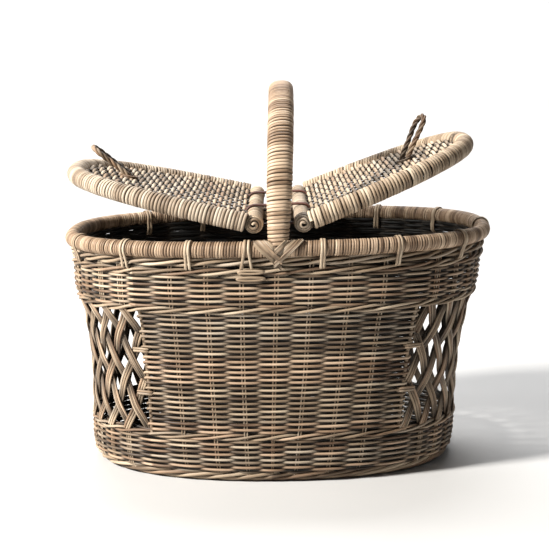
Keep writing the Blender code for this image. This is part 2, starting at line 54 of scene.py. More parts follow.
# Shape of the wall, as in the part's own source
HALF_LENGTH = 0.222
HALF_WIDTH = 0.155
PLAN_POWER = 2.5
FOOT_PLAN_POWER = 2.2
PLAN_SETTLED_HEIGHT = 0.12
WALL_PROFILE = (
    (0.000, 0.0345), (0.005, 0.0290), (0.012, 0.0245), (0.028, 0.0225), (0.085, 0.0220),
    (0.104, 0.0210), (0.131, 0.0190), (0.144, 0.0160), (0.164, 0.0130), (0.178, 0.0090),
    (0.186, 0.0055), (0.194, 0.0030), (0.2255, 0.0010),
)
SIDE_INSET_SHARE = 0.8
WALL_MIDDLE = 0.003
FOOT_TOP = 0.012
LOWER_BAND_TOP = 0.052
WINDOW_MIDDLE = 0.110
UPPER_BAND_BOTTOM = 0.180
UPPER_BAND_TOP = 0.2255
TOP_BORDER_MIDDLE = 0.233
RIM_HEIGHT = 0.246
RIM_RADIUS = 0.008
LATTICE_COLUMNS = 22
LATTICE_ROWS = 5
LEAN = 0.031
UNEVEN = 0.045

# Handle, bar and lids, as in the part's own source, but the handle's winding starts 5 mm lower
HANDLE_TOP = 0.407
HANDLE_HALF_DEPTH = 0.010
HANDLE_FOOT = RIM_HEIGHT + 0.0035
HANDLE_POWER = 2.3
BAR_RADIUS = 0.0085
BAR_HALF_LENGTH = 0.1425
HINGE_OFFSET = 0.0245
HINGE_HEIGHT = 0.2705
ROD_RADIUS = 0.009
ROD_HALF_LENGTH = 0.158
LID_RADIUS = 0.010
LID_HALF_WIDTH = 0.150
HINGE_TIE_Y = 0.065
HINGE_TIE_SHIFT = 0.004
LOOP_LENGTH = 0.054
LOOP_HALF_WIDTH = 0.0115
LOOP_STRAIGHT = 0.005
TIE_POSITIONS = (-0.154, -0.090, -0.031, 0.044, 0.120, 0.187)
LEFT_END_TIE = -0.206

# Canes of the wall; a weaver's half height is given behind a stake, beside it and in front of it
WEAVER_HALF_HEIGHT = (0.00195, 0.00178, 0.00142)
WEAVER_HALF_DEPTH = 0.00135
WEAVER_SWING = 0.0017
ROW_PITCH = 0.00276
ROW_WAVER = 0.00022
BAND_ROWS = 12
STAKE_RADIUS = 0.00085
POST_RADIUS = 0.0021
TURN_RADIUS = 0.0034
SAMPLES_PER_STAKE = 10
LATTICE_SWING = 0.0014
LATTICE_STRAND = 0.0030
LATTICE_INWARD = 0.0028
WINDOW_TIE_HEIGHTS = (0.092, 0.138)

# Stakes of the front and back panels, the edge posts included, by distance round the wall
PANEL_STAKES = (-0.1355, -0.1000, -0.0654, -0.0324, -0.0006, 0.0306, 0.0666, 0.1003, 0.1390)
WINDOW_GAP = 0.0050

ACROSS = np.array((1.0, 0.0, 0.0))
UP = np.array((0.0, 0.0, 1.0))
BODY = "basket"


def unit(vectors):
    return vectors / np.linalg.norm(vectors, axis=-1, keepdims=True)


def signed_power(value, power):
    return np.sign(value) * np.abs(value) ** power


def oval_reach(share, power):
    """How far an oval reaches one way, as a share, at this share of its reach the other way."""
    return (1.0 - np.abs(share) ** power) ** (1.0 / power)


def wander(count, lowest, highest, per_value=18):
    """A smooth random walk of values between two limits."""
    knots = max(2, int(count / per_value) + 1)
    values = CHANCE.uniform(lowest, highest, knots)
    return np.interp(np.linspace(0.0, knots - 1.0, count), np.arange(knots), values)


def closed_wander(count, reach, per_value):
    """A smooth random walk to either side of nothing, which ends where it began."""
    values = wander(count, -reach, reach, per_value)
    return values - np.linspace(0.0, values[-1] - values[0], count)


def travelled_along(line):
    """Distance along a line at each of its points."""
    steps = np.linalg.norm(np.diff(line, axis=0), axis=1)
    return np.concatenate(([0.0], np.cumsum(steps)))


def even_steps(line, count):
    """The same line with this many evenly spaced points."""
    travelled = travelled_along(line)
    even = np.linspace(0.0, travelled[-1], count)
    return np.stack([np.interp(even, travelled, values) for values in line.T], axis=1)


def smoothed(line, passes):
    """The line with its corners rounded; its two ends stay."""
    for _ in range(passes):
        line[1:-1] = (line[:-2] + 2.0 * line[1:-1] + line[2:]) / 4.0
    return line


def neighbours_apart(line):
    """From the point before to the point after, all round a closed line."""
    return np.roll(line, -1, axis=0) - np.roll(line, 1, axis=0)


def add_object(name, data):
    obj = bpy.data.objects.new(name, data)
    bpy.context.scene.collection.objects.link(obj)
    return obj


def leaned(points):
    """Where points of a true basket come to in this hand-woven one."""
    moved = points.copy()
    moved[:, 0] = points[:, 0] + LEAN * (points[:, 2] - RIM_HEIGHT)
    moved[:, 2] = points[:, 2] * (1.0 + UNEVEN * points[:, 0])
    return moved


class Canes:
    """Gathers swept canes into one mesh, with the values that the cane material reads.

    These are fibre, the place along and across the cane, and cane: its tone, hue and painted shade.
    """

    def __init__(self):
        self.points = []
        self.quads = []
        self.triangles = [np.zeros((0, 3), int)]
        self.fibre = []
        self.cane = []
        self.total = 0

    def add(self, path, half_width, half_thickness, facing, closed=False, sides=8,
            tone=None, hue=None, shade=1.0, back_shade=0.42):
        """One cane along a path: facing is which way its thin direction points."""
        count = len(path)
        ahead = unit(neighbours_apart(path) if closed else np.gradient(path, axis=0))
        across = unit(np.cross(ahead, facing))
        normal = np.cross(across, ahead)
        turns = np.linspace(0.0, 2.0 * math.pi, sides, endpoint=False)
        width = np.broadcast_to(half_width, (count,)) * CHANCE.uniform(0.96, 1.04)
        thickness = np.broadcast_to(half_thickness, (count,))
        offset_across = width[:, None] * np.cos(turns)
        offset_out = thickness[:, None] * np.sin(turns)
        rings = (path[:, None, :] + across[:, None, :] * offset_across[..., None]
                 + normal[:, None, :] * offset_out[..., None])
        travelled = travelled_along(path) + CHANCE.uniform(0.0, 50.0)
        shift = CHANCE.uniform(0.0, 9.0)
        fibre = np.stack((np.repeat(travelled, sides), (offset_across + shift).ravel(),
                          (offset_out + shift).ravel()), axis=1)
        if tone is None:
            tone = wander(count, 0.30, 0.95)
        if hue is None:
            hue = CHANCE.uniform(0.0, 1.0)
        tones = np.repeat(np.broadcast_to(tone, (count,)), sides)
        hues = np.full(count * sides, hue)
        # Painted shade round the section: the back of the cane is darkest and its edges darker than its
        # face, by back_shade; around here holds that painted shade, and shade darkens the cane along its
        # length.
        outer = 0.5 + 0.5 * np.sin(turns)
        around = np.interp(outer, (0.0, 0.5, 0.93), (0.5 * back_shade, back_shade, 1.0))
        shades = (np.broadcast_to(shade, (count,))[:, None] * around[None, :]).ravel()
        cane = np.stack((tones, hues, shades), axis=1)
        start = self.total
        side = np.arange(sides)
        next_side = np.roll(side, -1)
        corners = (np.arange(count if closed else count - 1) * sides)[:, None]
        first = corners + side
        following = corners + next_side
        quads = np.stack((first, first + sides, following + sides, following), axis=-1)
        self.quads.append(quads.reshape(-1, 4) % (count * sides) + start)
        self.keep(rings.reshape(-1, 3), fibre, cane)
        if closed:
            return
        for ring, sense in ((0, -1.0), (count - 1, 1.0)):
            corner = start + ring * sides
            pair = (side, next_side) if sense > 0.0 else (next_side, side)
            fan = (corner + pair[0], corner + pair[1], np.full(sides, self.total))
            self.triangles.append(np.stack(fan, axis=1))
            tip = path[ring] + ahead[ring] * sense * thickness[ring] * 0.5
            # The end cap's tip carries painted shade, at 0.6 of the shade beside it.
            self.keep(tip[None, :], fibre[ring * sides][None, :],
                      (cane[ring * sides] * (1.0, 1.0, 0.6))[None, :])

    def keep(self, points, fibre, cane):
        self.points.append(points)
        self.fibre.append(fibre)
        self.cane.append(cane)
        self.total += len(points)

    def build(self, name, material, slot_name, nodes=(), body=BODY):
        """Make the mesh object, attach it to its body, and hide the model's parts that it stands for."""
        points = np.concatenate(self.points)
        if body == BODY:
            points = leaned(points)
        quads = np.concatenate(self.quads)
        triangles = np.concatenate(self.triangles)
        mesh = bpy.data.meshes.new(name)
        mesh.vertices.add(len(points))
        mesh.vertices.foreach_set("co", points.astype(np.float32).ravel())
        corners = np.concatenate((quads.ravel(), triangles.ravel())).astype(np.int32)
        mesh.loops.add(len(corners))
        mesh.loops.foreach_set("vertex_index", corners)
        sizes = np.concatenate((np.full(len(quads), 4), np.full(len(triangles), 3))).astype(np.int32)
        mesh.polygons.add(len(sizes))
        starts = np.concatenate(([0], np.cumsum(sizes)[:-1])).astype(np.int32)
        mesh.polygons.foreach_set("loop_start", starts)
        for attribute_name, values in (("fibre", self.fibre), ("cane", self.cane)):
            attribute = mesh.attributes.new(attribute_name, "FLOAT_VECTOR", "POINT")
            attribute.data.foreach_set("vector", np.concatenate(values).astype(np.float32).ravel())
        mesh.update(calc_edges=True)
        mesh.shade_smooth()
        mesh.materials.append(material)
        obj = add_object(name, mesh)
        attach(obj, body)
        if nodes:
            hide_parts(*nodes)


# ---- materials

class Nodes:
    """Short helpers for wiring a material."""

    def __init__(self, name):
        self.material = bpy.data.materials.new(name)
        self.material.use_nodes = True
        self.tree = self.material.node_tree
        self.shader = self.tree.nodes["Principled BSDF"]

    def make(self, kind, **settings):
        node = self.tree.nodes.new(kind)
        for key, value in settings.items():
            setattr(node, key, value)
        return node

    def join(self, source, target):
        self.tree.links.new(source, target)

    def maths(self, operation, first, second):
        node = self.make("ShaderNodeMath", operation=operation)
        for socket, value in zip(node.inputs, (first, second)):
            if isinstance(value, (int, float)):
                socket.default_value = value
            else:
                self.join(value, socket)
        return node.outputs[0]

    def centred(self, noise, strength):
        """Noise as an amount more or less than nothing."""
        return self.maths("MULTIPLY", self.maths("SUBTRACT", noise, 0.5), strength)

    def noise(self, vector, scale, detail, roughness=0.55):
        node = self.make("ShaderNodeTexNoise")
        node.inputs["Scale"].default_value = scale
        node.inputs["Detail"].default_value = detail
        node.inputs["Roughness"].default_value = roughness
        self.join(vector, node.inputs["Vector"])
        return node.outputs["Fac"]

    def ramp(self, factor, stops):
        node = self.make("ShaderNodeValToRGB")
        elements = node.color_ramp.elements
        while len(elements) < len(stops):
            elements.new(0.5)
        for element, (place, colour) in zip(elements, stops):
            element.position = place
            element.color = (*colour, 1.0)
        self.join(factor, node.inputs["Fac"])
        return node.outputs["Color"]

    def mix(self, blend, factor, first, second):
        node = self.make("ShaderNodeMix", data_type="RGBA", blend_type=blend)
        for name, value in (("Factor", factor), ("A", first), ("B", second)):
            socket = [s for s in node.inputs if s.name == name and s.enabled][0]
            if isinstance(value, (int, float)):
                socket.default_value = value
            elif isinstance(value, tuple):
                socket.default_value = (*value, 1.0)
            else:
                self.join(value, socket)
        return [s for s in node.outputs if s.enabled][0]

    def stretched(self, scale):
        """The cane's own coordinates, scaled so that noise runs along the fibre."""
        attribute = self.make("ShaderNodeAttribute", attribute_name="fibre")
        mapping = self.make("ShaderNodeMapping")
        mapping.inputs["Scale"].default_value = scale
        self.join(attribute.outputs["Vector"], mapping.inputs["Vector"])
        return mapping.outputs["Vector"]


# Colour by tone, from a dark recess to a bleached skin
CANE_TONES = ((0.0, (0.035, 0.022, 0.014)), (0.30, (0.13, 0.085, 0.052)), (0.62, (0.35, 0.255, 0.168)),
              (1.0, (0.64, 0.52, 0.38)))
DARK_TONES = ((0.0, (0.03, 0.018, 0.011)), (0.4, (0.10, 0.06, 0.036)), (1.0, (0.27, 0.17, 0.10)))
LEATHER_TONES = ((0.0, (0.02, 0.007, 0.005)), (0.5, (0.075, 0.028, 0.020)), (1.0, (0.17, 0.07, 0.05)))


def cane_material(name, tones=CANE_TONES, lift=0.0, pink=0.5, roughness=0.5):
    """Weathered cane: streaks along the fibre, blotches, pinkish and grey canes, and painted shade in
    recesses from the canes' shade values.
    """
    nodes = Nodes(name)
    cane = nodes.make("ShaderNodeAttribute", attribute_name="cane")
    split = nodes.make("ShaderNodeSeparateXYZ")
    nodes.join(cane.outputs["Vector"], split.inputs["Vector"])
    tone, hue, shade = split.outputs
    streak = nodes.noise(nodes.stretched((45.0, 1900.0, 1900.0)), 1.0, 4.0, 0.65)
    blotch = nodes.noise(nodes.stretched((38.0, 160.0, 160.0)), 1.0, 2.0)
    value = nodes.maths("ADD", tone, lift)
    value = nodes.maths("ADD", value, nodes.centred(streak, 0.75))
    value = nodes.maths("ADD", value, nodes.centred(blotch, 0.55))
    colour = nodes.ramp(value, tones)
    pinkness = nodes.maths("MULTIPLY", nodes.maths("GREATER_THAN", hue, 0.78), pink)
    colour = nodes.mix("MULTIPLY", pinkness, colour, (1.0, 0.80, 0.72))
    greyness = nodes.maths("MULTIPLY", nodes.maths("LESS_THAN", hue, 0.22), 0.7)
    colour = nodes.mix("MULTIPLY", greyness, colour, (0.86, 0.90, 0.98))
    # Painted shade: the colour is multiplied by the shade value stored on the canes.
    dark = nodes.make("ShaderNodeCombineColor")
    for socket in dark.inputs[:3]:
        nodes.join(shade, socket)
    colour = nodes.mix("MULTIPLY", 1.0, colour, dark.outputs[0])
    nodes.join(colour, nodes.shader.inputs["Base Color"])
    rough = nodes.maths("ADD", nodes.maths("MULTIPLY", blotch, 0.35), roughness - 0.12)
    nodes.join(rough, nodes.shader.inputs["Roughness"])
    nodes.shader.inputs["Specular IOR Level"].default_value = 0.4
    bump = nodes.make("ShaderNodeBump")
    bump.inputs["Strength"].default_value = 0.35
    bump.inputs["Distance"].default_value = 0.0003
    nodes.join(streak, bump.inputs["Height"])
    nodes.join(bump.outputs["Normal"], nodes.shader.inputs["Normal"])
    return nodes.material


WALL_CANE = cane_material("wall cane", lift=-0.02)
WALE_CANE = cane_material("wale cane", lift=0.08)
STAKE_ROD = cane_material("stake rod", lift=0.02)
LATTICE_CANE = cane_material("lattice cane", lift=-0.04)
RIM_CANE = cane_material("rim cane", lift=0.02, pink=0.35)
TIE_CANE = cane_material("tie cane", lift=0.02, pink=0.2, roughness=0.45)
HANDLE_CANE = cane_material("handle cane", lift=0.09, pink=0.35, roughness=0.45)
LID_CANE = cane_material("lid cane", lift=0.10, pink=0.45)
LOOP_CANE = cane_material("loop cane", lift=-0.05)
BAR_CANE = cane_material("bar cane", tones=DARK_TONES)
THONG = cane_material("thong leather", tones=LEATHER_TONES, pink=0.0, roughness=0.5)


# ---- the wall's own coordinates

FINE_STEP = 0.0005
FINE_HEIGHTS = np.linspace(0.0, UPPER_BAND_TOP, round(UPPER_BAND_TOP / FINE_STEP) + 1)


def smooth_insets(reach=6):
    """Inset of the wall at each fine height, averaged over this many steps below and above."""
    heights, insets = zip(*WALL_PROFILE)
    padded = np.pad(np.interp(FINE_HEIGHTS, heights, insets), reach, mode="edge")
    window = 2 * reach + 1
    return np.convolve(padded, np.full(window, 1.0 / window), mode="valid")


FINE_INSETS = smooth_insets()


def wall(angle, height, inward):
    """Points of the wall by parameter angle, height and how far inside its outer face."""
    angle, height, inward = np.broadcast_arrays(angle, height, inward)
    inset = np.interp(height, FINE_HEIGHTS, FINE_INSETS)
    share = np.minimum(height / PLAN_SETTLED_HEIGHT, 1.0)
    power = 2.0 / (FOOT_PLAN_POWER + share * (PLAN_POWER - FOOT_PLAN_POWER))
    x = (HALF_LENGTH - inset - inward) * signed_power(np.cos(angle), power)
    y = (HALF_WIDTH - SIDE_INSET_SHARE * inset - inward) * signed_power(np.sin(angle), power)
    return np.stack((x, y, height), axis=-1)


# Distance round the wall at window height, from the middle of the front towards +X
FRONT = -math.pi / 2.0
TABLE_ANGLES = np.linspace(FRONT, FRONT + 2.0 * math.pi, 14401)
TABLE_AROUND = travelled_along(wall(TABLE_ANGLES, WINDOW_MIDDLE, 0.0))
GIRTH = TABLE_AROUND[-1]
HALF_GIRTH = GIRTH / 2.0


def angle_at(around):
    """Parameter angle at a distance round the wall; distances may run past a whole turn."""
    turns = np.floor(around / GIRTH)
    return np.interp(around - turns * GIRTH, TABLE_AROUND, TABLE_ANGLES) + turns * 2.0 * math.pi


def around_at(angle):
    """Distance round the wall at a parameter angle."""
    wrapped = (angle - FRONT) % (2.0 * math.pi) + FRONT
    return float(np.interp(wrapped, TABLE_ANGLES, TABLE_AROUND))


def wall_at(around, height, inward):
    return wall(angle_at(around), height, inward)


def outward_at(around, step=0.0004):
    """Level direction that points straight out of the wall."""
    after = wall_at(around + step, WINDOW_MIDDLE, 0.0)
    before = wall_at(around - step, WINDOW_MIDDLE, 0.0)
    return unit(np.cross(after - before, UP))


WINDOW_FROM = PANEL_STAKES[-1] + WINDOW_GAP
WINDOW_TO = HALF_GIRTH + PANEL_STAKES[0] - WINDOW_GAP
COLUMN_WIDTH = (WINDOW_TO - WINDOW_FROM) / LATTICE_COLUMNS


def ring_stakes(first_column):
    """Stakes all the way round: those of the panels, and one at every second lattice column."""
    columns = range(first_column, LATTICE_COLUMNS, 2)
    right_end = [WINDOW_FROM + column * COLUMN_WIDTH for column in columns]
    half = list(PANEL_STAKES) + right_end
    return np.array(half + [HALF_GIRTH + place for place in half])


LOWER_STAKES = ring_stakes(2)
UPPER_STAKES = ring_stakes(1)


def round_the_stakes(stakes, samples):
    """Stake numbers in fine steps all the way round, and their distances round the wall."""
    number = np.arange(len(stakes) * samples) / samples
    wrapped = np.append(stakes, stakes[0] + GIRTH)
    return number, np.interp(number, np.arange(len(stakes) + 1), wrapped)


def end_stakes(stakes, reach):
    """Those of the stakes that stand within this distance of either end of the basket."""
    return [place for place in stakes if abs(place % HALF_GIRTH - HALF_GIRTH / 2.0) < reach]


def weave_depth(stake_number, row):
    """How far outward a plain-woven cane stands: in front of one stake, behind the next."""
    return WEAVER_SWING * signed_power(np.cos(math.pi * (stake_number + row)), 0.75)


def weaver_height(depth):
    """Canes are pressed flat where they pass behind a stake, and stand round in front of one."""
    return np.interp(depth / WEAVER_SWING, (-1.0, -0.2, 0.5), WEAVER_HALF_HEIGHT)


def depth_shade(depth):
    """Painted shade on recessed stretches of cane, darkest where they lie furthest behind a stake."""
    return np.interp(depth / WEAVER_SWING, (-1.0, -0.35, 0.30, 1.0), (0.015, 0.08, 0.80, 1.0))


def plain_row(canes, stakes, height, row, inward=WALL_MIDDLE, painted_shade_scale=1.0):
    """One closed course of plain weave round the whole basket."""
    number, around = round_the_stakes(stakes, SAMPLES_PER_STAKE)
    depth = weave_depth(number, row)
    path = wall_at(around, height + closed_wander(len(number), ROW_WAVER, 25), inward - depth)
    swell = wander(len(number), 0.94, 1.05, 30)
    # Painted shade: darker where the cane lies behind a stake, and a whole row darker by the scale given
    # last.
    canes.add(path, weaver_height(depth) * swell, WEAVER_HALF_DEPTH * swell, outward_at(around),
              closed=True, shade=depth_shade(depth) * painted_shade_scale, tone=wander(len(number), 0.25, 1.0, 24))


def twisted_ring(canes, stakes, height, inward, swing, rise, radius, strands=3, period=3.0, first=0.0):
    """A wale or rope: strands that twist round one another once every so many stakes."""
    count = len(stakes)
    turns = round(count / period)
    number, around = round_the_stakes(stakes, 8)
    out = outward_at(around)
    for strand in range(strands):
        turn = 2.0 * math.pi * (number * turns / count + strand / strands) + first
        depth = swing * np.cos(turn)
        path = wall_at(around, height + rise * np.sin(turn), inward - depth)
        path[:, 2] += closed_wander(len(number), 0.0004, 30)
        # Painted shade: each strand darkens where it turns to the back of the ring.
        shade = np.interp(np.cos(turn), (-1.0, -0.2, 0.4), (0.22, 0.6, 1.0))
        canes.add(path, radius, radius, out, closed=True, shade=shade)


def backing_rows(canes, stakes, bottom, rows):
    """Plain courses close behind a twisted ring, which keep the wall tight there; they get painted shade for
    lying behind it.
    """
    for row in range(rows):
        plain_row(canes, stakes, bottom + row * ROW_PITCH, row, WALL_MIDDLE + 0.0022, 0.45)


def stake_rods(canes, stakes, first, last, rods=(-0.5, 0.5), spacing=0.003):
    """Upright rods inside the weave: pairs or small groups."""
    heights = np.linspace(first, last, 14)
    for stake in stakes:
        for rod in rods:
            around = np.full(len(heights), stake + rod * spacing)
            path = wall_at(around, heights, WALL_MIDDLE - 0.0003)
            facing = outward_at(around)
            radius = STAKE_RADIUS * CHANCE.uniform(0.92, 1.1)
            # Slight painted shade over the whole rod, inside the weave.
            canes.add(path, radius, radius, facing, sides=7, shade=0.95)


# ---- the wall

def lower_band():
    """Plain courses from the foot border up, and a twisted ring as the windows' sill."""
    canes = Canes()
    for row in range(BAND_ROWS):
        plain_row(canes, LOWER_STAKES, FOOT_TOP + 0.0016 + row * ROW_PITCH, row)
    twisted_ring(canes, LOWER_STAKES, LOWER_BAND_TOP - 0.0035, WALL_MIDDLE - 0.0004,
                 swing=0.0022, rise=0.0024, radius=0.0014)
    backing_rows(canes, LOWER_STAKES, LOWER_BAND_TOP - 0.0052, 3)
    backing_rows(canes, LOWER_STAKES, FOOT_TOP - 0.0040, 3)
    canes.build("lower_weave_canes", WALL_CANE, "wall_cane", ("lower_band",))


def wall_stakes():
    """Pairs of rods up the panels, and threes in the bands below and above the windows."""
    rods = Canes()
    foot = 0.006
    head = 0.240
    panels = np.array(PANEL_STAKES[1:-1])
    stake_rods(rods, np.concatenate((panels, HALF_GIRTH + panels)), foot, head)
    threes = (-1.0, 0.0, 1.0)
    stake_rods(rods, end_stakes(LOWER_STAKES, 0.125), foot, LOWER_BAND_TOP, threes, spacing=0.0024)
    stake_rods(rods, end_stakes(UPPER_STAKES, 0.130), UPPER_BAND_BOTTOM - 0.001, head, threes,
               spacing=0.0026)
    rods.build("wall_stakes", STAKE_ROD, "stake_rod")


def upper_band():
    """A twisted ring as the windows' head, plain courses, and a second ring above them."""
    canes = Canes()
    twisted_ring(canes, UPPER_STAKES, UPPER_BAND_BOTTOM + 0.0030, WALL_MIDDLE - 0.0006,
                 swing=0.0024, rise=0.0028, radius=0.0015)
    for row in range(BAND_ROWS):
        plain_row(canes, UPPER_STAKES, UPPER_BAND_BOTTOM + 0.0074 + row * ROW_PITCH, row)
    twisted_ring(canes, UPPER_STAKES, UPPER_BAND_TOP - 0.0022, WALL_MIDDLE - 0.0008,
                 swing=0.0025, rise=0.0026, radius=0.00155, first=1.0)
    backing_rows(canes, UPPER_STAKES, UPPER_BAND_BOTTOM + 0.0018, 2)
    backing_rows(canes, UPPER_STAKES, UPPER_BAND_TOP - 0.0066, 3)
    canes.build("upper_weave_canes", WALL_CANE, "wall_cane", ("upper_band",))


def rim_wale():
    """The thick twisted ring under the rim roll, and a thinner one tucked in above it."""
    canes = Canes()
    twisted_ring(canes, UPPER_STAKES, TOP_BORDER_MIDDLE, WALL_MIDDLE - 0.0012,
                 swing=0.0027, rise=0.0029, radius=0.0017)
    twisted_ring(canes, LOWER_STAKES, TOP_BORDER_MIDDLE + 0.0046, WALL_MIDDLE + 0.0004,
                 swing=0.0016, rise=0.0014, radius=0.0016, strands=2, period=4.0, first=2.0)
    backing_rows(canes, UPPER_STAKES, TOP_BORDER_MIDDLE - 0.0058, 5)
    canes.build("rim_wale_canes", WALE_CANE, "wale_cane", ("top_border",))


def serpentine_panel(name, middle, node):
    """A panel woven back and forth, its weavers turning back round the edge posts."""
    canes = Canes()
    bottom = LOWER_BAND_TOP + 0.0018
    top = UPPER_BAND_BOTTOM - 0.0018
    rows = round((top - bottom) / ROW_PITCH)
    last_stake = len(PANEL_STAKES) - 1
    number = np.linspace(0.0, last_stake, last_stake * SAMPLES_PER_STAKE + 1)
    around = middle + np.interp(number, np.arange(last_stake + 1), PANEL_STAKES)
    sweep = np.linspace(0.0, math.pi, 7)[1:-1]
    stretches = []
    rows_left = 4
    for row, height in enumerate(np.linspace(bottom, top, rows + 1)):
        sense = 1 if row % 2 == 0 else -1
        rise = wander(len(number), -ROW_WAVER, ROW_WAVER, 25)
        stretch = np.stack((around, height + rise, weave_depth(number, row)), axis=1)[::sense]
        stretches.append(stretch)
        rows_left -= 1
        if rows_left == 0 or row == rows:
            lay_weaver(canes, np.concatenate(stretches))
            stretches = []
            rows_left = CHANCE.integers(2, 7)
            continue
        post = middle + PANEL_STAKES[-1 if sense > 0 else 0]
        stretches.append(np.stack((post + sense * TURN_RADIUS * np.sin(sweep),
                                   height + ROW_PITCH * sweep / math.pi,
                                   stretch[-1, 2] * np.cos(sweep) * 1.15), axis=1))
    canes.build(name, WALL_CANE, "wall_cane", (node,))


def lay_weaver(canes, stretches):
    """One weaver of a panel, from its distances round the wall, heights and depths."""
    around, height, depth = stretches.T
    path = wall_at(around, height, WALL_MIDDLE - depth)
    swell = wander(len(around), 0.94, 1.05, 30)
    canes.add(path, weaver_height(depth) * swell, WEAVER_HALF_DEPTH * swell, outward_at(around),
              shade=depth_shade(depth), tone=wander(len(around), 0.25, 1.0, 26))


def edge_posts():
    """A stout stake at each edge of each window."""
    canes = Canes()
    heights = np.linspace(LOWER_BAND_TOP - 0.004, UPPER_BAND_BOTTOM + 0.004, 20)
    for middle in (0.0, HALF_GIRTH):
        for place in (PANEL_STAKES[0], PANEL_STAKES[-1]):
            around = np.full(len(heights), middle + place)
            path = wall_at(around, heights, WALL_MIDDLE)
            # Painted shade darkens the posts throughout.
            canes.add(path, POST_RADIUS, POST_RADIUS, outward_at(around), shade=0.8)
    posts = [f"edge_post_{face}_{side}" for face in ("front", "back") for side in ("left", "right")]
    canes.build("edge_posts_canes", STAKE_ROD, "stake_rod", posts)


def lattice(name, start, node):
    """Bands of canes on the slant, over and under one another, with open diamonds between."""
    canes = Canes()
    row = np.linspace(-0.12, LATTICE_ROWS + 0.12, 62)
    past_edge = 0.15
    for lean in (1, -1):
        for first in range(-LATTICE_ROWS - 1, LATTICE_COLUMNS + LATTICE_ROWS + 2, 2):
            column = first + lean * row
            inside = (column > -past_edge) & (column < LATTICE_COLUMNS + past_edge)
            if inside.sum() >= 6:
                lattice_band(canes, start + column[inside] * COLUMN_WIDTH, row[inside], lean)
    canes.build(name, LATTICE_CANE, "lattice_cane", (node,))


def lattice_band(canes, around, row, lean):
    """Three or four canes side by side on one slant."""
    height_per_row = (UPPER_BAND_BOTTOM - LOWER_BAND_TOP) / LATTICE_ROWS
    height = LOWER_BAND_TOP + row * height_per_row
    depth = lean * LATTICE_SWING * np.cos(math.pi * row)
    # Painted shade: a band is darker where it dips under the crossing band.
    shade = np.interp(depth / LATTICE_SWING, (-1.0, 0.1, 0.8), (0.25, 0.65, 1.0))
    slope = math.atan2(height_per_row, lean * COLUMN_WIDTH)
    strands = CHANCE.choice((3, 3, 4))
    width = 3.0 * LATTICE_STRAND / strands
    for strand in range(strands):
        shift = (strand - (strands - 1) / 2.0) * width + wander(len(row), -0.0003, 0.0003, 12)
        moved_around = around - shift * math.sin(slope)
        path = wall_at(moved_around, height + shift * math.cos(slope), LATTICE_INWARD - depth)
        canes.add(path, width / 2.0, 0.0011, outward_at(moved_around), shade=shade)


def window_ties():
    """Doubled cane ties that hold the lattice to the edge posts."""
    canes = Canes()
    turns = np.linspace(0.0, 2.0 * math.pi, 28, endpoint=False)
    cosine = np.cos(turns)
    sine = np.sin(turns)
    loop_around = 0.0092 * signed_power(cosine, 0.6)
    depth = 0.0044 * signed_power(sine, 0.6)
    for middle in (0.0, HALF_GIRTH):
        for edge in (-1.0, 1.0):
            around = middle + PANEL_STAKES[0 if edge < 0.0 else -1] + edge * 0.0036 + loop_around
            out = outward_at(around)
            facing = unit(out * sine[:, None] + edge * 0.3 * cosine[:, None] * np.cross(UP, out))
            for height in WINDOW_TIE_HEIGHTS:
                for strand in (-0.5, 0.5):
                    path = wall_at(around, height + strand * 0.0027 + 0.0008 * sine, WALL_MIDDLE - depth)
                    canes.add(path, 0.0013, 0.0008, facing, closed=True)
    ties = [f"window_tie_{number}" for number in range(1, 9)]
    canes.build("window_ties_canes", TIE_CANE, "tie_cane", ties)


def foot_border():
    """Thick canes twisted slowly into the border that the basket stands on."""
    canes = Canes()
    samples = 520
    strands = 5
    twists = 7
    radius = 0.0021
    around = np.linspace(0.0, GIRTH, samples, endpoint=False)
    for strand in range(strands):
        turn = 2.0 * math.pi * (twists * around / GIRTH + strand / strands)
        path = wall_at(around, 0.0061 + 0.0039 * np.sin(turn), 0.0062 - 0.0040 * np.cos(turn))
        # Painted shade: each strand darkens where it turns in behind the others.
        shade = np.interp(np.cos(turn), (-1.0, 0.1, 0.6), (0.3, 0.7, 1.0))
        canes.add(path, radius, radius, outward_at(around), closed=True, shade=shade,
                  tone=wander(samples, 0.25, 1.0, 40))
    canes.build("foot_border_canes", WALL_CANE, "wall_cane", ("foot_border",))


def base_weave():
    """The bottom: pairs of rods along Y, and canes along X woven over and under them."""
    canes = Canes()
    half_length = 0.1860
    half_width = 0.1255
    rod_step = 0.022
    row_step = 0.0031
    middle_height = 0.0065
    rods = int(half_length / rod_step)
    for rod in range(-rods, rods + 1):
        x = rod * rod_step
        reach = half_width * oval_reach(x / half_length, FOOT_PLAN_POWER)
        for side in (-0.0016, 0.0016):
            path = np.stack((np.full(9, x + side), np.linspace(-reach, reach, 9),
                             np.full(9, middle_height)), axis=1)
            # Painted shade: the rods are darker, lying under the weavers.
            canes.add(path, 0.0013, 0.0013, UP, sides=6, shade=0.6)
    rows = int(half_width / row_step)
    for row in range(-rows, rows + 1):
        y = row * row_step
        reach = half_length * oval_reach(y / half_width, FOOT_PLAN_POWER)
        x = np.arange(-reach, reach, rod_step / 6.0)
        wave = np.cos(math.pi * (x / rod_step + row))
        path = np.stack((x, np.full(len(x), y), middle_height + 0.0018 * wave), axis=1)
        # Painted shade: the weavers darken where they dip under a rod.
        canes.add(path, 0.0018, 0.0012, UP, sides=6, back_shade=0.8,
                  shade=np.interp(wave, (-1.0, 1.0), (0.55, 0.9)))
    canes.build("base_weave_canes", WALL_CANE, "wall_cane", ("base_panel",))


# ---- rim, handle and bar

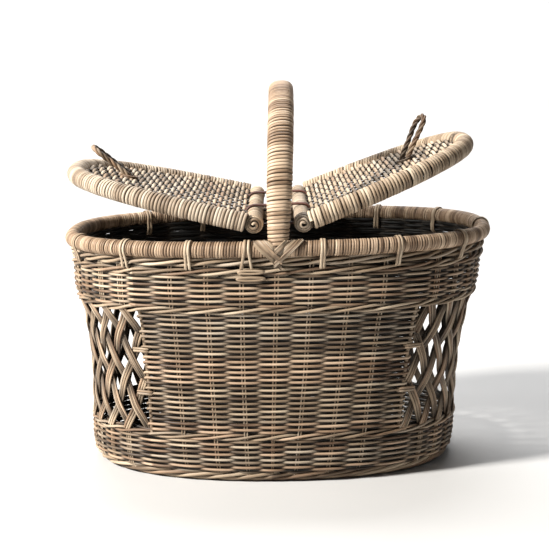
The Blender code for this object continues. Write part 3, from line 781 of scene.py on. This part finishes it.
def wound(canes, middle, side, up, radius_side, radius_up, pitch, half_width, half_thickness,
          samples=14, power=1.0, jitter=0.12):
    """Flat cane wound round a roll: middle, side and up give the roll's line and its section axes."""
    travelled = travelled_along(middle)
    length = travelled[-1]
    winds = int(length / pitch)
    place = np.linspace(0.0, length, winds * samples + 1)
    turn = 2.0 * math.pi * winds * place / length
    wobble = wander(len(place), -jitter * pitch, jitter * pitch, samples)
    place = np.sort(np.clip(place + wobble, 0.0, length)) + np.linspace(0.0, 1e-6, len(place))

    def where_laid(values, shape):
        """Values given for the whole roll or along its line, read where the cane passes."""
        columns = np.atleast_2d(np.broadcast_to(values, shape).T)
        return np.stack([np.interp(place, travelled, column) for column in columns], axis=1)

    count = (len(middle),)
    side_axis = unit(where_laid(side, middle.shape))
    up_axis = unit(where_laid(up, middle.shape))
    swell = 1.0 + wander(len(place), -0.012, 0.02, samples)[:, None]
    across = where_laid(radius_side, count) * swell
    upward = where_laid(radius_up, count)
    cosine = np.cos(turn)[:, None]
    sine = np.sin(turn)[:, None]
    path = (where_laid(middle, middle.shape) + side_axis * across * signed_power(cosine, power)
            + up_axis * upward * swell * signed_power(sine, power))
    taper = np.nan_to_num(-np.gradient(upward[:, 0], place))[:, None]
    axis = unit(where_laid(np.gradient(middle, axis=0), middle.shape))
    facing = unit(side_axis * cosine + up_axis * sine + axis * taper)
    # back_shade gives painted shade in the grooves between wraps.
    canes.add(path, half_width, half_thickness, facing, sides=6,
              tone=wander(len(place), 0.30, 0.95, samples * 1.4), back_shade=0.35)


def rim_roll():
    canes = Canes()
    around = np.linspace(0.0, GIRTH, 900)
    middle = wall(angle_at(around), RIM_HEIGHT, 0.0)
    radius = 0.0073
    wound(canes, middle, outward_at(around), UP, radius, radius, 0.0027, 0.00148, 0.0009, jitter=0.22)
    canes.build("rim_roll_canes", RIM_CANE, "rim_cane", ("rim_hoop",))


def rim_place(x, front):
    """Distance round the wall where the rim has this X, at the front or the back."""
    angle = math.acos(signed_power(x / HALF_LENGTH, PLAN_POWER / 2.0))
    return around_at(-angle if front else angle)


def rim_ties():
    """Doubled cane ties over the rim roll and under the wale; one of them is splayed."""
    canes = Canes()
    places = [rim_place(x, True) for x in TIE_POSITIONS] + [GIRTH / 4.0]
    places += [rim_place(x, False) for x in reversed(TIE_POSITIONS)] + [rim_place(LEFT_END_TIE, True)]
    splayed = 2
    roll = 0.0089
    outline = [(roll * math.cos(turn), roll * math.sin(turn))
               for turn in np.linspace(math.radians(-20.0), math.radians(200.0), 20)]
    outline += [(-0.0098, -0.0100), (-0.0085, -0.0165), (-0.0040, -0.0195), (0.0006, -0.0200),
                (0.0026, -0.0185), (0.0036, -0.0140), (0.0058, -0.0085)]
    outline = np.array(outline)
    ahead = unit(neighbours_apart(outline))
    lower = np.clip(-outline[:, 1] / 0.020, 0.0, 1.0)
    for number, place in enumerate(places):
        middle = wall(angle_at(place), RIM_HEIGHT, 0.0)
        out = outward_at(place)
        along = np.cross(UP, out)
        facing = ahead[:, 1:] * out - ahead[:, :1] * UP
        splay = 0.0034 if number == splayed else CHANCE.uniform(0.0, 0.0008)
        for strand in (-1.0, 1.0):
            sideways = strand * (0.00155 + splay * lower) + CHANCE.uniform(-0.0006, 0.0006)
            path = middle + outline[:, :1] * out + outline[:, 1:] * UP + sideways[:, None] * along
            canes.add(path, 0.00145, 0.0008, facing, closed=True, tone=CHANCE.uniform(0.55, 0.9),
                      hue=0.5, back_shade=0.6)
        if number == splayed:
            splayed_loops(canes, place)
    names = [f"rim_tie_{number:02d}" for number in range(1, 15)]
    canes.build("rim_ties_canes", TIE_CANE, "tie_cane", names)


def splayed_loops(canes, place):
    """Two flat loops of cane lashed across the wale under the splayed tie."""
    turns = np.linspace(0.0, 2.0 * math.pi, 26, endpoint=False)
    for height, half_length in ((0.2235, 0.0115), (0.2165, 0.0125)):
        around = place + 0.004 + half_length * np.cos(turns)
        path = wall_at(around, height + 0.0016 * np.sin(turns), -0.0026 + 0.0012 * np.cos(turns) ** 4)
        canes.add(path, 0.0013, 0.0010, outward_at(around), closed=True, tone=0.62, hue=0.5)


def arch(turn):
    """Points of the handle's middle line, from the front foot at 0 to the back foot at pi."""
    power = 2.0 / HANDLE_POWER
    rise = HANDLE_TOP - HANDLE_HALF_DEPTH - HANDLE_FOOT
    y = -HALF_WIDTH * signed_power(np.cos(turn), power)
    z = HANDLE_FOOT + rise * np.abs(np.sin(turn)) ** power
    return np.stack((np.zeros(len(turn)), y, z), axis=1)


def handle():
    """Flat cane wound round the arched bundle of rods, narrowing a little at each foot."""
    canes = Canes()
    count = 300
    fine = np.linspace(0.0, math.pi, 1601)
    travelled = travelled_along(arch(fine))
    places = np.linspace(0.0, travelled[-1], count)
    middle = arch(np.interp(places, travelled, fine))
    inward = np.cross(unit(np.gradient(middle, axis=0)), ACROSS)
    from_end = np.minimum(places, travelled[-1] - places)
    half_width = np.interp(from_end, (0.0, 0.012, 0.05, 0.12), (0.0092, 0.0100, 0.0118, 0.0122))
    half_depth = np.interp(from_end, (0.0, 0.012), (0.0098, 0.0092))
    wound(canes, middle, ACROSS, inward, half_width, half_depth, 0.0036, 0.0019, 0.0011, samples=24,
          power=0.85, jitter=0.20)
    canes.build("handle_wrap_canes", HANDLE_CANE, "handle_cane", ("handle_wrap", "handle_core"))


def binding(name, front, node):
    """The plaited chevron at a handle's foot: flat canes crossing down to a point."""
    canes = Canes()
    ahead = -1.0 if front else 1.0
    roll = RIM_RADIUS + 0.0020
    reach = 0.0245
    travel = np.linspace(-0.15, 1.0, 34)

    def on_roll(x, height, lift):
        """Points that hug the rim roll, or the handle's foot where that stands further out."""
        edge = HALF_WIDTH * oval_reach(x / HALF_LENGTH, PLAN_POWER)
        drop = height - RIM_HEIGHT
        out = np.sqrt(np.maximum((roll + lift) ** 2 - drop ** 2, 0.0))
        on_handle = (0.0100 + lift) * np.sqrt(np.maximum(1.0 - (x / 0.0145) ** 2, 0.0))
        out = np.maximum(out, np.where(drop < 0.0, 0.0046 + lift, on_handle))
        return np.stack((x, ahead * (edge + out), height), axis=1)

    for side in (-1.0, 1.0):
        for band in range(3):
            foot = 0.2325 + band * 0.0066 + side * 0.0014
            over = np.where(travel < 0.20, 0.0008 * side * (-1.0) ** band, 0.0)
            for strand in (-1.5, -0.5, 0.5, 1.5):
                height = foot + strand * 0.00155 + reach * travel * 0.95
                keep = height < RIM_HEIGHT + roll * 0.97
                x = side * reach * travel[keep]
                path = smoothed(on_roll(x, height[keep], over[keep]), 3)
                facing = path - np.array((0.0, ahead * (HALF_WIDTH - 0.006), RIM_HEIGHT))
                facing[:, 0] -= x
                # Painted shade: a strand is darker where it passes under the next band.
                canes.add(path, 0.00085, 0.0008, unit(facing), tone=wander(len(x), 0.30, 0.80),
                          shade=np.where(over[keep] < 0.0, 0.6, 1.0), back_shade=0.55)
    canes.build(name, TIE_CANE, "tie_cane", (node,))


def bridge_bar():
    canes = Canes()
    middle = np.stack((np.zeros(60), np.linspace(-BAR_HALF_LENGTH, BAR_HALF_LENGTH, 60),
                       np.full(60, HINGE_HEIGHT)), axis=1)
    radius = 0.0073
    wound(canes, middle, ACROSS, UP, radius, radius, 0.0045, 0.0024, 0.0010)
    canes.build("bridge_bar_canes", BAR_CANE, "core_rod", ("bridge_bar",))


def hinge_ties():
    """Dark leather thongs, each wound twice round the bar and a lid's rod."""
    canes = Canes()

    def arc(middle, radius, first, count):
        """Half a circle round the bar or the rod, from this angle on."""
        turns = np.linspace(first, first + math.pi, count)
        return [(middle + radius * math.cos(turn), radius * math.sin(turn)) for turn in turns]

    outline = arc(0.0, BAR_RADIUS + 0.0010, math.pi / 2.0, 12)
    outline = np.array(outline + arc(HINGE_OFFSET, ROD_RADIUS + 0.0013, -math.pi / 2.0, 14))
    ahead = unit(neighbours_apart(outline))
    count = len(outline)
    for side in (-1.0, 1.0):
        facing = np.stack((side * ahead[:, 1], np.zeros(count), -ahead[:, 0]), axis=1)
        for end in (-1.0, 1.0):
            for strand in (-0.0022, 0.0022):
                place = end * HINGE_TIE_Y + side * HINGE_TIE_SHIFT + strand
                path = np.stack((side * outline[:, 0], np.full(count, place),
                                 HINGE_HEIGHT + outline[:, 1]), axis=1)
                canes.add(path, 0.0024, 0.0013, facing, closed=True, back_shade=0.8)
    names = [f"hinge_tie_{side}_{end}" for side in ("left", "right") for end in ("front", "back")]
    canes.build("hinge_thongs_canes", THONG, "thong_leather", names)


# ---- the lids

class Lid:
    """One lid's own coordinates: distance from the hinge, Y, and height over its middle plane."""

    def __init__(self, name, side, reach, rest_angle, loop_distance, loop_lean, loop_turn):
        self.name = name
        self.side = side
        self.reach = reach
        self.loop_distance = loop_distance
        self.loop_lean = loop_lean
        self.loop_turn = loop_turn
        self.hinge = leaned(np.array([(side * HINGE_OFFSET, 0.0, HINGE_HEIGHT)]))[0]
        self.outwards = np.array((side * math.cos(rest_angle), 0.0, math.sin(rest_angle)))
        self.above = np.array((-side * math.sin(rest_angle), 0.0, math.cos(rest_angle)))
        self.along = np.array((0.0, 1.0, 0.0))

    def place(self, distance, y, height):
        """Points in the world's coordinates."""
        distance, y, height = np.broadcast_arrays(distance, y, height)
        return (self.hinge + distance[:, None] * self.outwards + y[:, None] * self.along
                + height[:, None] * self.above)

    def outline(self, start, count):
        """The D's line, evenly stepped from the front corner to the back corner."""
        power = 2.0 / PLAN_POWER
        first = math.acos(((HINGE_OFFSET + start) / self.reach) ** (1.0 / power))
        fine = np.linspace(-first, first, 2001)
        distance = self.reach * signed_power(np.cos(fine), power) - HINGE_OFFSET
        y = LID_HALF_WIDTH * signed_power(np.sin(fine), power)
        return even_steps(np.stack((distance, y), axis=1), count).T

    def build(self, canes, part, material, slot_name, node):
        canes.build(f"{self.name}_{part}_canes", material, slot_name, (f"{self.name}_{node}",), self.name)


def lid_frame(lid):
    """The wound D-shaped roll round the lid."""
    canes = Canes()
    distance, y = lid.outline(0.008, 420)
    middle = lid.place(distance, y, 0.0)
    side = unit(np.cross(unit(np.gradient(middle, axis=0)), lid.above))
    radius = 0.0088
    wound(canes, middle, side, lid.above, radius, radius, 0.0035, 0.00185, 0.0012, samples=16, jitter=0.27)
    lid.build(canes, "frame", LID_CANE, "lid_cane", "frame")


def lid_rod(lid):
    """The wound rod along the hinge, its cane spiralling in to a point at each end."""
    canes = Canes()
    y = np.linspace(-ROD_HALF_LENGTH, ROD_HALF_LENGTH, 160)
    from_end = ROD_HALF_LENGTH - np.abs(y)
    radius = np.interp(from_end, (0.0, 0.004, 0.010, 0.020, 0.032),
                       (0.0012, 0.0050, 0.0084, 0.0088, 0.0078))
    wound(canes, lid.place(0.0, y, 0.0), lid.outwards, lid.above, radius, radius, 0.0036, 0.0020, 0.0010,
          samples=16)
    lid.build(canes, "rod", LID_CANE, "lid_cane", "hinge_rod")


def lid_panel(lid):
    """Flat canes running along Y, woven over and under ribs that run out from the hinge."""
    canes = Canes()
    inset = LID_RADIUS - 0.0030
    length = lid.reach - inset
    half_width = LID_HALF_WIDTH - inset
    raised = 0.0030
    rib_step = 0.0275
    ribs = int(half_width / rib_step)
    for rib in range(-ribs, ribs + 1):
        y = rib * rib_step
        reach = length * oval_reach(y / half_width, PLAN_POWER) - HINGE_OFFSET
        distance = np.linspace(0.007, reach, 16)
        for shift in (-0.0013, 0.0013):
            # Painted shade: the ribs are dark, lying under the weavers.
            canes.add(lid.place(distance, y + shift, raised), 0.0012, 0.0012, lid.above, sides=6, shade=0.22)
    pitch = 0.0052
    first = 0.0125
    rows = int((length - HINGE_OFFSET - 0.010) / pitch)
    for row in range(rows):
        distance = first + row * pitch
        width = half_width * oval_reach((distance + HINGE_OFFSET) / length, PLAN_POWER)
        count = int(width * 2.0 / rib_step * 10.0) + 3
        y = np.linspace(-width, width, count)
        wave = np.cos(math.pi * (y / rib_step + row))
        depth = 0.0019 * signed_power(wave, 0.8)
        path = lid.place(distance + wander(count, -0.0005, 0.0005, 10), y, raised + depth)
        # Painted shade: weavers go nearly black where they dip under a rib.
        shade = np.interp(wave, (-1.0, -0.6, -0.1), (0.03, 0.20, 1.0))
        canes.add(path, 0.0019, 0.0012, lid.above, shade=shade, tone=wander(count, 0.35, 0.95, 20))
    lid.build(canes, "panel", LID_CANE, "lid_cane", "panel")


def lid_loop(lid):
    """The finger loop: three thin canes twisted together, with a lashing at its foot."""
    canes = Canes()
    foot = 0.0020
    count = 110
    rising = lid.outwards * math.sin(lid.loop_lean) + lid.above * math.cos(lid.loop_lean)
    sideways = lid.along * math.cos(lid.loop_turn) - lid.outwards * lid.side * math.sin(lid.loop_turn)
    straight = LOOP_LENGTH - LOOP_STRAIGHT - LOOP_HALF_WIDTH
    flat = [(-1.0, -0.35 * straight), (-1.0, 0.0), (-0.95, straight * 0.5)]
    flat += [(math.cos(t), straight + LOOP_HALF_WIDTH * math.sin(t)) for t in np.linspace(math.pi, 0.0, 11)]
    flat += [(0.95, straight * 0.5), (1.0, 0.0), (1.0, -0.35 * straight)]
    share, rise = np.array(flat).T
    width = share * LOOP_HALF_WIDTH * np.interp(rise, (-0.01, straight), (0.55, 0.86))
    start = lid.place(np.full(len(flat), lid.loop_distance), 0.0, foot + LOOP_STRAIGHT)
    line = (start + np.maximum(rise, 0.0)[:, None] * rising + np.minimum(rise, 0.0)[:, None] * lid.above
            + width[:, None] * sideways)
    place = np.linspace(0.0, travelled_along(line)[-1], count)
    line = smoothed(even_steps(line, count), 6)
    flat_normal = unit(np.cross(rising, sideways))
    side = unit(np.cross(unit(np.gradient(line, axis=0)), flat_normal))
    twist_length = 0.026
    for strand in range(3):
        turn = 2.0 * math.pi * (place / twist_length + strand / 3.0)
        offset = flat_normal * np.cos(turn)[:, None] + side * np.sin(turn)[:, None]
        canes.add(line + offset * 0.0015, 0.00155, 0.00155, side, tone=wander(count, 0.3, 0.8))
    turns = np.linspace(0.0, 6.0 * math.pi, 60)
    lashing = lid.place(lid.loop_distance + 0.0085 * np.cos(turns), 0.0105 * np.sin(turns),
                        0.0034 + 0.0005 * turns / math.pi)
    canes.add(lashing, 0.0016, 0.0010, lid.above, tone=0.5)
    lid.build(canes, "loop", LOOP_CANE, "loop_cane", "loop")


LIDS = (
    Lid("lid_left", -1.0, 0.2205, math.radians(12.3), 0.141, math.radians(64.0), 0.0),
    Lid("lid_right", 1.0, 0.2125, math.radians(21.5), 0.124, math.radians(44.0), math.radians(25.0)),
)

lower_band()
wall_stakes()
upper_band()
rim_wale()
serpentine_panel("front_weave_canes", 0.0, "front_panel")
serpentine_panel("back_weave_canes", HALF_GIRTH, "back_panel")
edge_posts()
lattice("right_lattice_canes", WINDOW_FROM, "lattice_right")
lattice("left_lattice_canes", HALF_GIRTH + WINDOW_FROM, "lattice_left")
window_ties()
foot_border()
base_weave()
rim_roll()
rim_ties()
handle()
binding("front_binding_canes", True, "handle_binding_front")
binding("back_binding_canes", False, "handle_binding_back")
bridge_bar()
hinge_ties()
for one_lid in LIDS:
    lid_frame(one_lid)
    lid_rod(one_lid)
    lid_panel(one_lid)
    lid_loop(one_lid)


# ---- floor, light and camera

def pale_material():
    """Matt white card with a faint mottle."""
    nodes = Nodes("pale card")
    coordinates = nodes.make("ShaderNodeTexCoord")
    mottle = nodes.noise(coordinates.outputs["Object"], 3.0, 2.0)
    colour = nodes.ramp(mottle, ((0.3, (0.60, 0.60, 0.60)), (0.7, (0.63, 0.63, 0.63))))
    nodes.join(colour, nodes.shader.inputs["Base Color"])
    nodes.shader.inputs["Roughness"].default_value = 0.9
    nodes.shader.inputs["Specular IOR Level"].default_value = 0.1
    return nodes.material


def backdrop():
    """A floor that curves up into a wall behind the basket."""
    reach = 9.0
    floor_end = 2.2
    bend = 1.2
    height = 4.5
    profile = [(-reach, 0.0), (floor_end, 0.0)]
    profile += [(floor_end + bend * math.sin(t), bend - bend * math.cos(t))
                for t in np.linspace(0.1, math.pi / 2.0, 14)]
    profile.append((floor_end + bend, height))
    points = [(x, y, z) for y, z in profile for x in (-reach, reach)]
    faces = [(2 * i, 2 * i + 1, 2 * i + 3, 2 * i + 2) for i in range(len(profile) - 1)]
    mesh = bpy.data.meshes.new("backdrop")
    mesh.from_pydata(points, [], faces)
    mesh.shade_smooth()
    mesh.materials.append(pale_material())
    obj = add_object("backdrop", mesh)


def area_light(name, place, target, size, power, colour):
    data = bpy.data.lights.new(name, "AREA")
    data.shape = "DISK"
    data.size = size
    data.energy = power
    data.color = colour
    obj = add_object(name, data)
    obj.location = place
    direction = np.array(target) - np.array(place)
    yaw = math.atan2(-direction[0], direction[1])
    pitch = math.atan2(math.hypot(direction[0], direction[1]), -direction[2])
    obj.rotation_euler = (pitch, 0.0, yaw)


def camera():
    """The photograph's own angle: from a little above the handle, looking down at the basket."""
    down = 9.02
    roll = -0.5
    data = bpy.data.cameras.new("camera")
    data.lens = 96.85
    data.sensor_width = 36.0
    obj = add_object("camera", data)
    obj.location = (-0.0038, -1.6, 0.450)
    look = Euler((math.radians(90.0 - down), 0.0, 0.0)).to_quaternion()
    obj.rotation_euler = (look @ Quaternion((0.0, 0.0, 1.0), math.radians(roll))).to_euler()
    bpy.context.scene.camera = obj


def world():
    studio = bpy.data.worlds.new("studio")
    bpy.context.scene.world = studio
    studio.use_nodes = True
    background = studio.node_tree.nodes["Background"]
    background.inputs["Color"].default_value = (1.0, 1.0, 1.0, 1.0)
    background.inputs["Strength"].default_value = 0.07


backdrop()
area_light("key", (-2.3, -1.15, 1.75), (0.0, 0.0, 0.18), 0.5, 215.0, (1.0, 0.965, 0.91))
area_light("backdrop light", (0.0, 1.3, 2.8), (0.0, 2.6, 0.3), 2.0, 115.0, (1.0, 1.0, 1.0))
camera()
world()
bpy.context.scene.view_settings.view_transform = "Standard"
